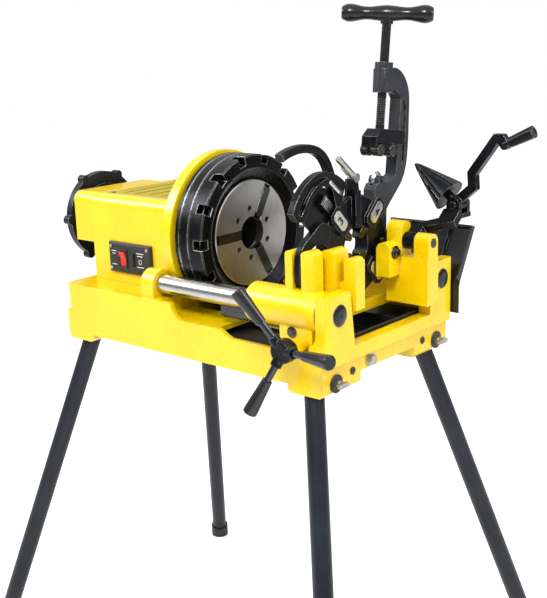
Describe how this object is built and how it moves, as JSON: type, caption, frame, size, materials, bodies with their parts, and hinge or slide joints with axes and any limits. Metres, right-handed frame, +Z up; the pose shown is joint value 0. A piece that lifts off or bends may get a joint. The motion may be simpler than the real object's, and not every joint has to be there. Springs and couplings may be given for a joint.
{
  "type": "pipe threading machine",
  "caption": "Electric pipe threading machine on four splayed legs, with a gripping spindle and a sliding carriage carrying a pipe cutter, die head and reamer.",
  "frame": {"origin": "on the spindle axis, in the plane of the faceplate's right face", "axes": "+X along the spindle towards the carriage and tools, +Y to the rear, +Z up"},
  "size_m": [0.9615, 0.7416, 1.3005],
  "materials": {
    "castings": "glossy yellow enamel on a casting",
    "housing": "glossy yellow enamel on a casting",
    "cover": "olive yellow, satin",
    "tray": "black, satin",
    "splash_tray": "black, satin",
    "small_screws": "zinc plated",
    "switch_box": "moulded",
    "rocker": "red",
    "motor": "black, satin",
    "motor_cap": "moulded",
    "gear_steel": "cut and oiled",
    "gear_steel_2": "cut and oiled",
    "gear_steel_3": "cut and oiled",
    "gear_steel_4": "cut and oiled",
    "drive_plate": "as machined",
    "spindle": "turned",
    "bearing": "turned",
    "bearing_2": "turned",
    "faceplate": "faced on a lathe",
    "socket_screws": "black oxide",
    "jaw_steel_1": "hardened",
    "jaw_steel_2": "hardened",
    "jaw_steel_3": "hardened",
    "hammer_wheel": "blackened casting",
    "rear_chuck": "blackened casting",
    "rear_ring": "blackened casting",
    "rear_jaw_steel_1": "hardened",
    "rear_jaw_steel_2": "hardened",
    "rear_jaw_steel_3": "hardened",
    "rail": "ground",
    "rail_2": "ground",
    "rack_steel": "cut",
    "carriage": "glossy yellow enamel on a casting",
    "pins": "ground",
    "pinion_shaft": "turned",
    "wheel_hub": "blackened casting",
    "wheel_arms": "bright",
    "wheel_grips": "moulded",
    "die_head": "blackened casting",
    "die_steel_1": "hardened",
    "die_steel_2": "hardened",
    "die_steel_3": "hardened",
    "die_steel_4": "hardened",
    "tags": "brushed",
    "cam": "blackened",
    "throwout": "blackened forging",
    "link_rod": "zinc plated",
    "cutter_frame": "light grey enamel on a casting",
    "cutter_slide": "milled",
    "cutter_wheel": "hardened and ground",
    "roller_1": "ground",
    "roller_2": "ground",
    "feed_screw": "turned",
    "reamer_arm": "blackened casting",
    "reamer_lever": "blackened forging",
    "reamer_cone": "milled",
    "legs": "dark grey paint on tube",
    "feet": "moulded",
    "clamp_bolts": "zinc plated",
    "drain_plug": "zinc plated"
  },
  "bodies": {
    "frame": {"base_casting": "castings", "chip_tray": "tray", "rear_splash_tray": "splash_tray", "gear_case": "housing", "top_cover": "cover", "cover_screws": "small_screws", "switch_box": "switch_box", "motor": "motor", "motor_end_cap": "motor_cap", "drive_plate": "drive_plate", "front_bearing": "bearing", "rear_bearing": "bearing_2", "guide_rail_front": "rail", "guide_rail_rear": "rail_2", "rack": "rack_steel", "legs": "legs", "leg_feet": "feet", "leg_clamp_bolts": "clamp_bolts", "drain_plug": "drain_plug"},
    "switch": {"switch_rocker": "rocker"},
    "motor_shaft": {"motor_pinion": "gear_steel"},
    "layshaft": {"layshaft": "gear_steel_2", "lay_big_gear": "gear_steel_3"},
    "spindle": {"spindle_gear": "gear_steel_4", "spindle_tube": "spindle", "chuck_body": "faceplate", "faceplate_screws": "socket_screws", "rear_chuck_body": "rear_chuck"},
    "hammer_wheel": {"hammer_wheel": "hammer_wheel"},
    "jaw_1": {"jaw_1": "jaw_steel_1"},
    "jaw_2": {"jaw_2": "jaw_steel_2"},
    "jaw_3": {"jaw_3": "jaw_steel_3"},
    "rear_ring": {"rear_chuck_ring": "rear_ring"},
    "rear_jaw_1": {"rear_jaw_1": "rear_jaw_steel_1"},
    "rear_jaw_2": {"rear_jaw_2": "rear_jaw_steel_2"},
    "rear_jaw_3": {"rear_jaw_3": "rear_jaw_steel_3"},
    "carriage": {"carriage": "carriage", "hinge_pins": "pins"},
    "handwheel": {"pinion_shaft": "pinion_shaft", "handwheel_hub": "wheel_hub", "handwheel_arms": "wheel_arms", "handwheel_grips": "wheel_grips"},
    "die_head": {"die_head_body": "die_head", "die_tags": "tags", "head_link_rod": "link_rod"},
    "throwout": {"cam_plate": "cam", "throwout_handle": "throwout"},
    "die_1": {"die_1": "die_steel_1"},
    "die_2": {"die_2": "die_steel_2"},
    "die_3": {"die_3": "die_steel_3"},
    "die_4": {"die_4": "die_steel_4"},
    "cutter": {"cutter_frame": "cutter_frame"},
    "cutter_wheel": {"cutter_wheel": "cutter_wheel"},
    "cutter_slide": {"cutter_slide": "cutter_slide"},
    "cutter_roller_front": {"cutter_roller_front": "roller_1"},
    "cutter_roller_rear": {"cutter_roller_rear": "roller_2"},
    "feed_screw": {"cutter_feed_screw": "feed_screw"},
    "reamer_arm": {"reamer_arm": "reamer_arm"},
    "reamer_tool": {"reamer_lever": "reamer_lever", "reamer_cone": "reamer_cone"}
  },
  "joints": [
    {"name": "spindle_turn", "type": "hinge", "parent": "frame", "child": "spindle", "pos_m": [0, 0, 0], "axis": [1, 0, 0], "continuous": true},
    {"name": "layshaft_turn", "type": "hinge", "parent": "frame", "child": "layshaft", "pos_m": [0, 0.01969, -0.06509], "axis": [1, 0, 0], "continuous": true},
    {"name": "motor_turn", "type": "hinge", "parent": "frame", "child": "motor_shaft", "pos_m": [0, -0.01, -0.088], "axis": [1, 0, 0], "continuous": true},
    {"name": "hammer_turn", "type": "hinge", "parent": "spindle", "child": "hammer_wheel", "pos_m": [0, 0, 0], "axis": [1, 0, 0], "range_deg": [0, 945]},
    {"name": "jaw_1_slide", "type": "slide", "parent": "spindle", "child": "jaw_1", "axis": [0, -0.5, -0.866], "range_m": [0, 0.021]},
    {"name": "jaw_2_slide", "type": "slide", "parent": "spindle", "child": "jaw_2", "axis": [0, 1, 0], "range_m": [0, 0.021]},
    {"name": "jaw_3_slide", "type": "slide", "parent": "spindle", "child": "jaw_3", "axis": [0, -0.5, 0.866], "range_m": [0, 0.021]},
    {"name": "rear_ring_turn", "type": "hinge", "parent": "spindle", "child": "rear_ring", "pos_m": [0, 0, 0], "axis": [1, 0, 0], "range_deg": [0, 810]},
    {"name": "rear_jaw_1_slide", "type": "slide", "parent": "spindle", "child": "rear_jaw_1", "axis": [0, -0.5, -0.866], "range_m": [0, 0.018]},
    {"name": "rear_jaw_2_slide", "type": "slide", "parent": "spindle", "child": "rear_jaw_2", "axis": [0, 1, 0], "range_m": [0, 0.018]},
    {"name": "rear_jaw_3_slide", "type": "slide", "parent": "spindle", "child": "rear_jaw_3", "axis": [0, -0.5, 0.866], "range_m": [0, 0.018]},
    {"name": "carriage_slide", "type": "slide", "parent": "frame", "child": "carriage", "axis": [1, 0, 0], "range_m": [-0.115, 0]},
    {"name": "handwheel_turn", "type": "hinge", "parent": "carriage", "child": "handwheel", "pos_m": [0.255, -0.2, -0.127], "axis": [0, 1, 0], "range_deg": [0, 475]},
    {"name": "die_head_pivot", "type": "hinge", "parent": "carriage", "child": "die_head", "pos_m": [0.226, 0.135, -0.028], "axis": [1, 0, 0], "range_deg": [-80, 0]},
    {"name": "throwout_turn", "type": "hinge", "parent": "die_head", "child": "throwout", "pos_m": [0.212, 0, 0], "axis": [1, 0, 0], "range_deg": [-28, 0]},
    {"name": "die_1_slide", "type": "slide", "parent": "die_head", "child": "die_1", "axis": [0, 0.7071, 0.7071], "range_m": [0, 0.004]},
    {"name": "die_2_slide", "type": "slide", "parent": "die_head", "child": "die_2", "axis": [0, -0.7071, 0.7071], "range_m": [0, 0.004]},
    {"name": "die_3_slide", "type": "slide", "parent": "die_head", "child": "die_3", "axis": [0, -0.7071, -0.7071], "range_m": [0, 0.004]},
    {"name": "die_4_slide", "type": "slide", "parent": "die_head", "child": "die_4", "axis": [0, 0.7071, -0.7071], "range_m": [0, 0.004]},
    {"name": "cutter_pivot", "type": "hinge", "parent": "carriage", "child": "cutter", "pos_m": [0.184, 0.135, -0.028], "axis": [1, 0, 0], "range_deg": [0, 79.3]},
    {"name": "cutter_feed", "type": "slide", "parent": "cutter", "child": "cutter_slide", "axis": [0, 0.1231, 0.9924], "range_m": [-0.012, 0.03]},
    {"name": "feed_screw_turn", "type": "hinge", "parent": "cutter_slide", "child": "feed_screw", "pos_m": [0.184, 0.14888, 0.20254], "axis": [0, 0.1231, 0.9924], "range_deg": [-1440, 3600]},
    {"name": "cutter_wheel_spin", "type": "hinge", "parent": "cutter", "child": "cutter_wheel", "pos_m": [0.184, 0.13519, 0.09209], "axis": [1, 0, 0], "continuous": true},
    {"name": "roller_front_spin", "type": "hinge", "parent": "cutter_slide", "child": "cutter_roller_front", "pos_m": [0.184, 0.12295, 0.14782], "axis": [1, 0, 0], "continuous": true},
    {"name": "roller_rear_spin", "type": "hinge", "parent": "cutter_slide", "child": "cutter_roller_rear", "pos_m": [0.184, 0.16066, 0.14314], "axis": [1, 0, 0], "continuous": true},
    {"name": "reamer_pivot", "type": "hinge", "parent": "carriage", "child": "reamer_arm", "pos_m": [0.289, 0.092, -0.001], "axis": [1, 0, 0], "range_deg": [0, 140.3]},
    {"name": "reamer_swivel", "type": "hinge", "parent": "reamer_arm", "child": "reamer_tool", "pos_m": [0.336, 0.1634, 0.0571], "axis": [0, -1, 0], "range_deg": [0, 36.3]},
    {"name": "switch_rock", "type": "hinge", "parent": "frame", "child": "switch", "pos_m": [0, -0.126, -0.05], "axis": [1, 0, 0], "range_deg": [-6, 6]}
  ],
  "couplings": [
    {"joint": "layshaft_turn", "follows": "spindle_turn", "ratio": -3.8571},
    {"joint": "motor_turn", "follows": "spindle_turn", "ratio": 12.214},
    {"joint": "jaw_1_slide", "follows": "hammer_turn", "m_per_rad": 0.0012732},
    {"joint": "jaw_2_slide", "follows": "hammer_turn", "m_per_rad": 0.0012732},
    {"joint": "jaw_3_slide", "follows": "hammer_turn", "m_per_rad": 0.0012732},
    {"joint": "rear_jaw_1_slide", "follows": "rear_ring_turn", "m_per_rad": 0.0012732},
    {"joint": "rear_jaw_2_slide", "follows": "rear_ring_turn", "m_per_rad": 0.0012732},
    {"joint": "rear_jaw_3_slide", "follows": "rear_ring_turn", "m_per_rad": 0.0012732},
    {"joint": "handwheel_turn", "follows": "carriage_slide", "rad_per_m": -71.429},
    {"joint": "die_1_slide", "follows": "throwout_turn", "m_per_rad": -0.0081851},
    {"joint": "die_2_slide", "follows": "throwout_turn", "m_per_rad": -0.0081851},
    {"joint": "die_3_slide", "follows": "throwout_turn", "m_per_rad": -0.0081851},
    {"joint": "die_4_slide", "follows": "throwout_turn", "m_per_rad": -0.0081851},
    {"joint": "feed_screw_turn", "follows": "cutter_feed", "rad_per_m": 2094.4}
  ]
}
